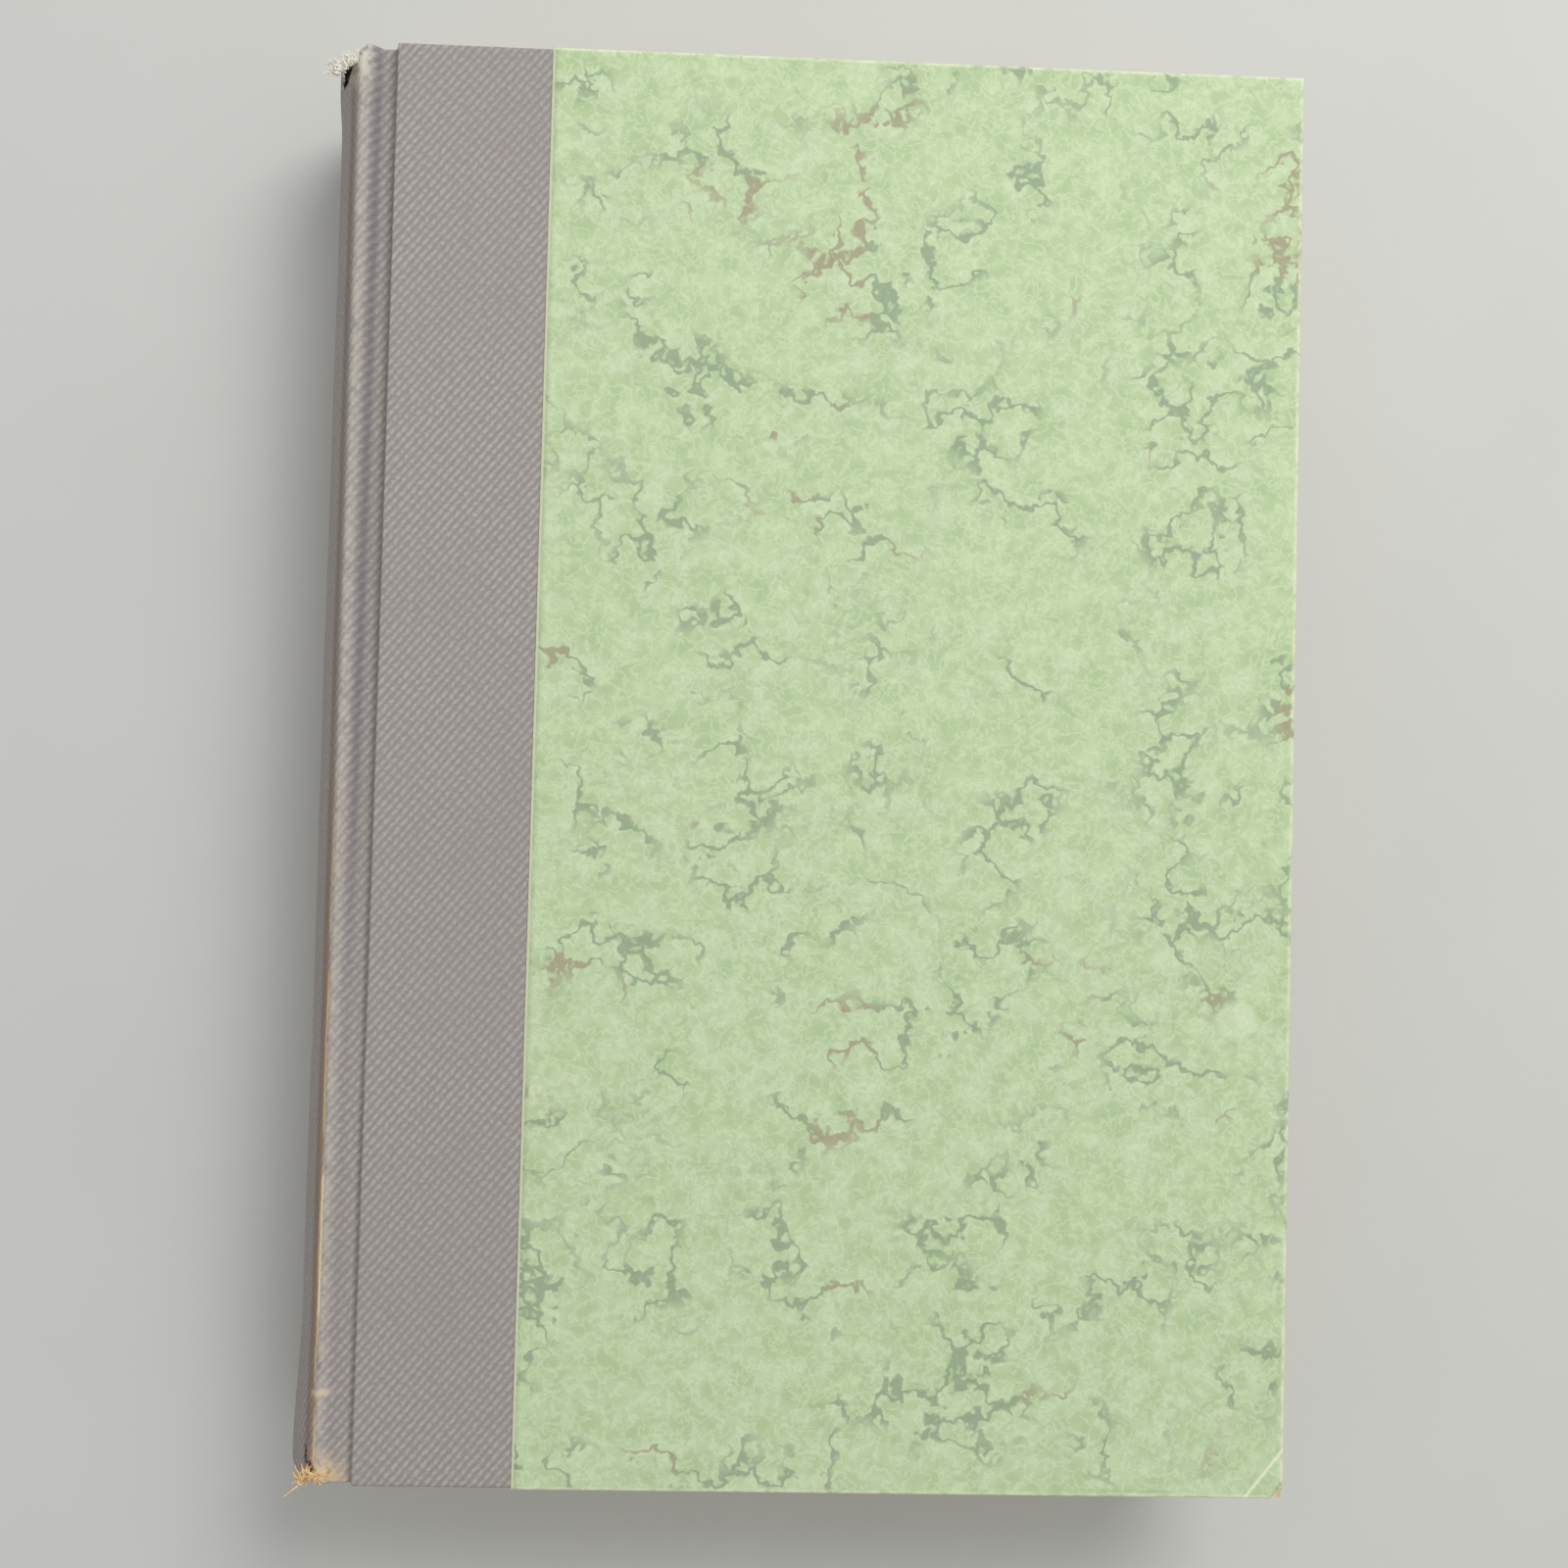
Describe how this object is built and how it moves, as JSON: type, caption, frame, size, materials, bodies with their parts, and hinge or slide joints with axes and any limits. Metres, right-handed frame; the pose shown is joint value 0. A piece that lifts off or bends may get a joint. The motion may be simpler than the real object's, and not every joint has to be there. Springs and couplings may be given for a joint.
{
  "type": "hardback book",
  "caption": "Quarter-bound hardback book: rounded cloth spine, paper-covered boards that open on cloth joints, lying closed on its back cover.",
  "frame": {"origin": "centre of the closed book's bounding box, on the surface that it lies on", "axes": "+X from spine to fore edge, +Y from tail to head, +Z from back cover to front cover"},
  "size_m": [0.1622, 0.235, 0.036],
  "materials": {
    "leaves": "uncoated book paper, toned at the edges",
    "endpaper": "plain cream endpaper",
    "cover_paper": "pale green vein-mottled side paper",
    "book_cloth": "worn grey twill book cloth",
    "millboard": "grey-brown millboard",
    "mull": "open-weave starched cotton",
    "kraft_paper": "brown kraft paper",
    "inlay_card": "thin flexible card",
    "cord": "twisted cotton cord"
  },
  "bodies": {
    "book_block": {"text_block": "leaves", "front_flyleaf": "endpaper", "back_flyleaf": "endpaper", "mull": "mull", "spine_lining": "kraft_paper", "spine_inlay": "inlay_card", "head_cord": "cord", "tail_cord": "cord", "spine_cloth": "book_cloth"},
    "front_cover": {"front_board": "millboard", "front_cover_cloth": "book_cloth", "front_cover_paper": "cover_paper", "front_pastedown": "endpaper"},
    "back_cover": {"back_board": "millboard", "back_cover_cloth": "book_cloth", "back_cover_paper": "cover_paper", "back_pastedown": "endpaper"}
  },
  "joints": [
    {"name": "front_cover_hinge", "type": "hinge", "parent": "book_block", "child": "front_cover", "pos_m": [-0.0745, 0, 0.0345], "axis": [0, -1, 0], "range_deg": [0, 180]},
    {"name": "back_cover_hinge", "type": "hinge", "parent": "book_block", "child": "back_cover", "pos_m": [-0.0745, 0, 0.0015], "axis": [0, 1, 0], "range_deg": [0, 180]}
  ]
}
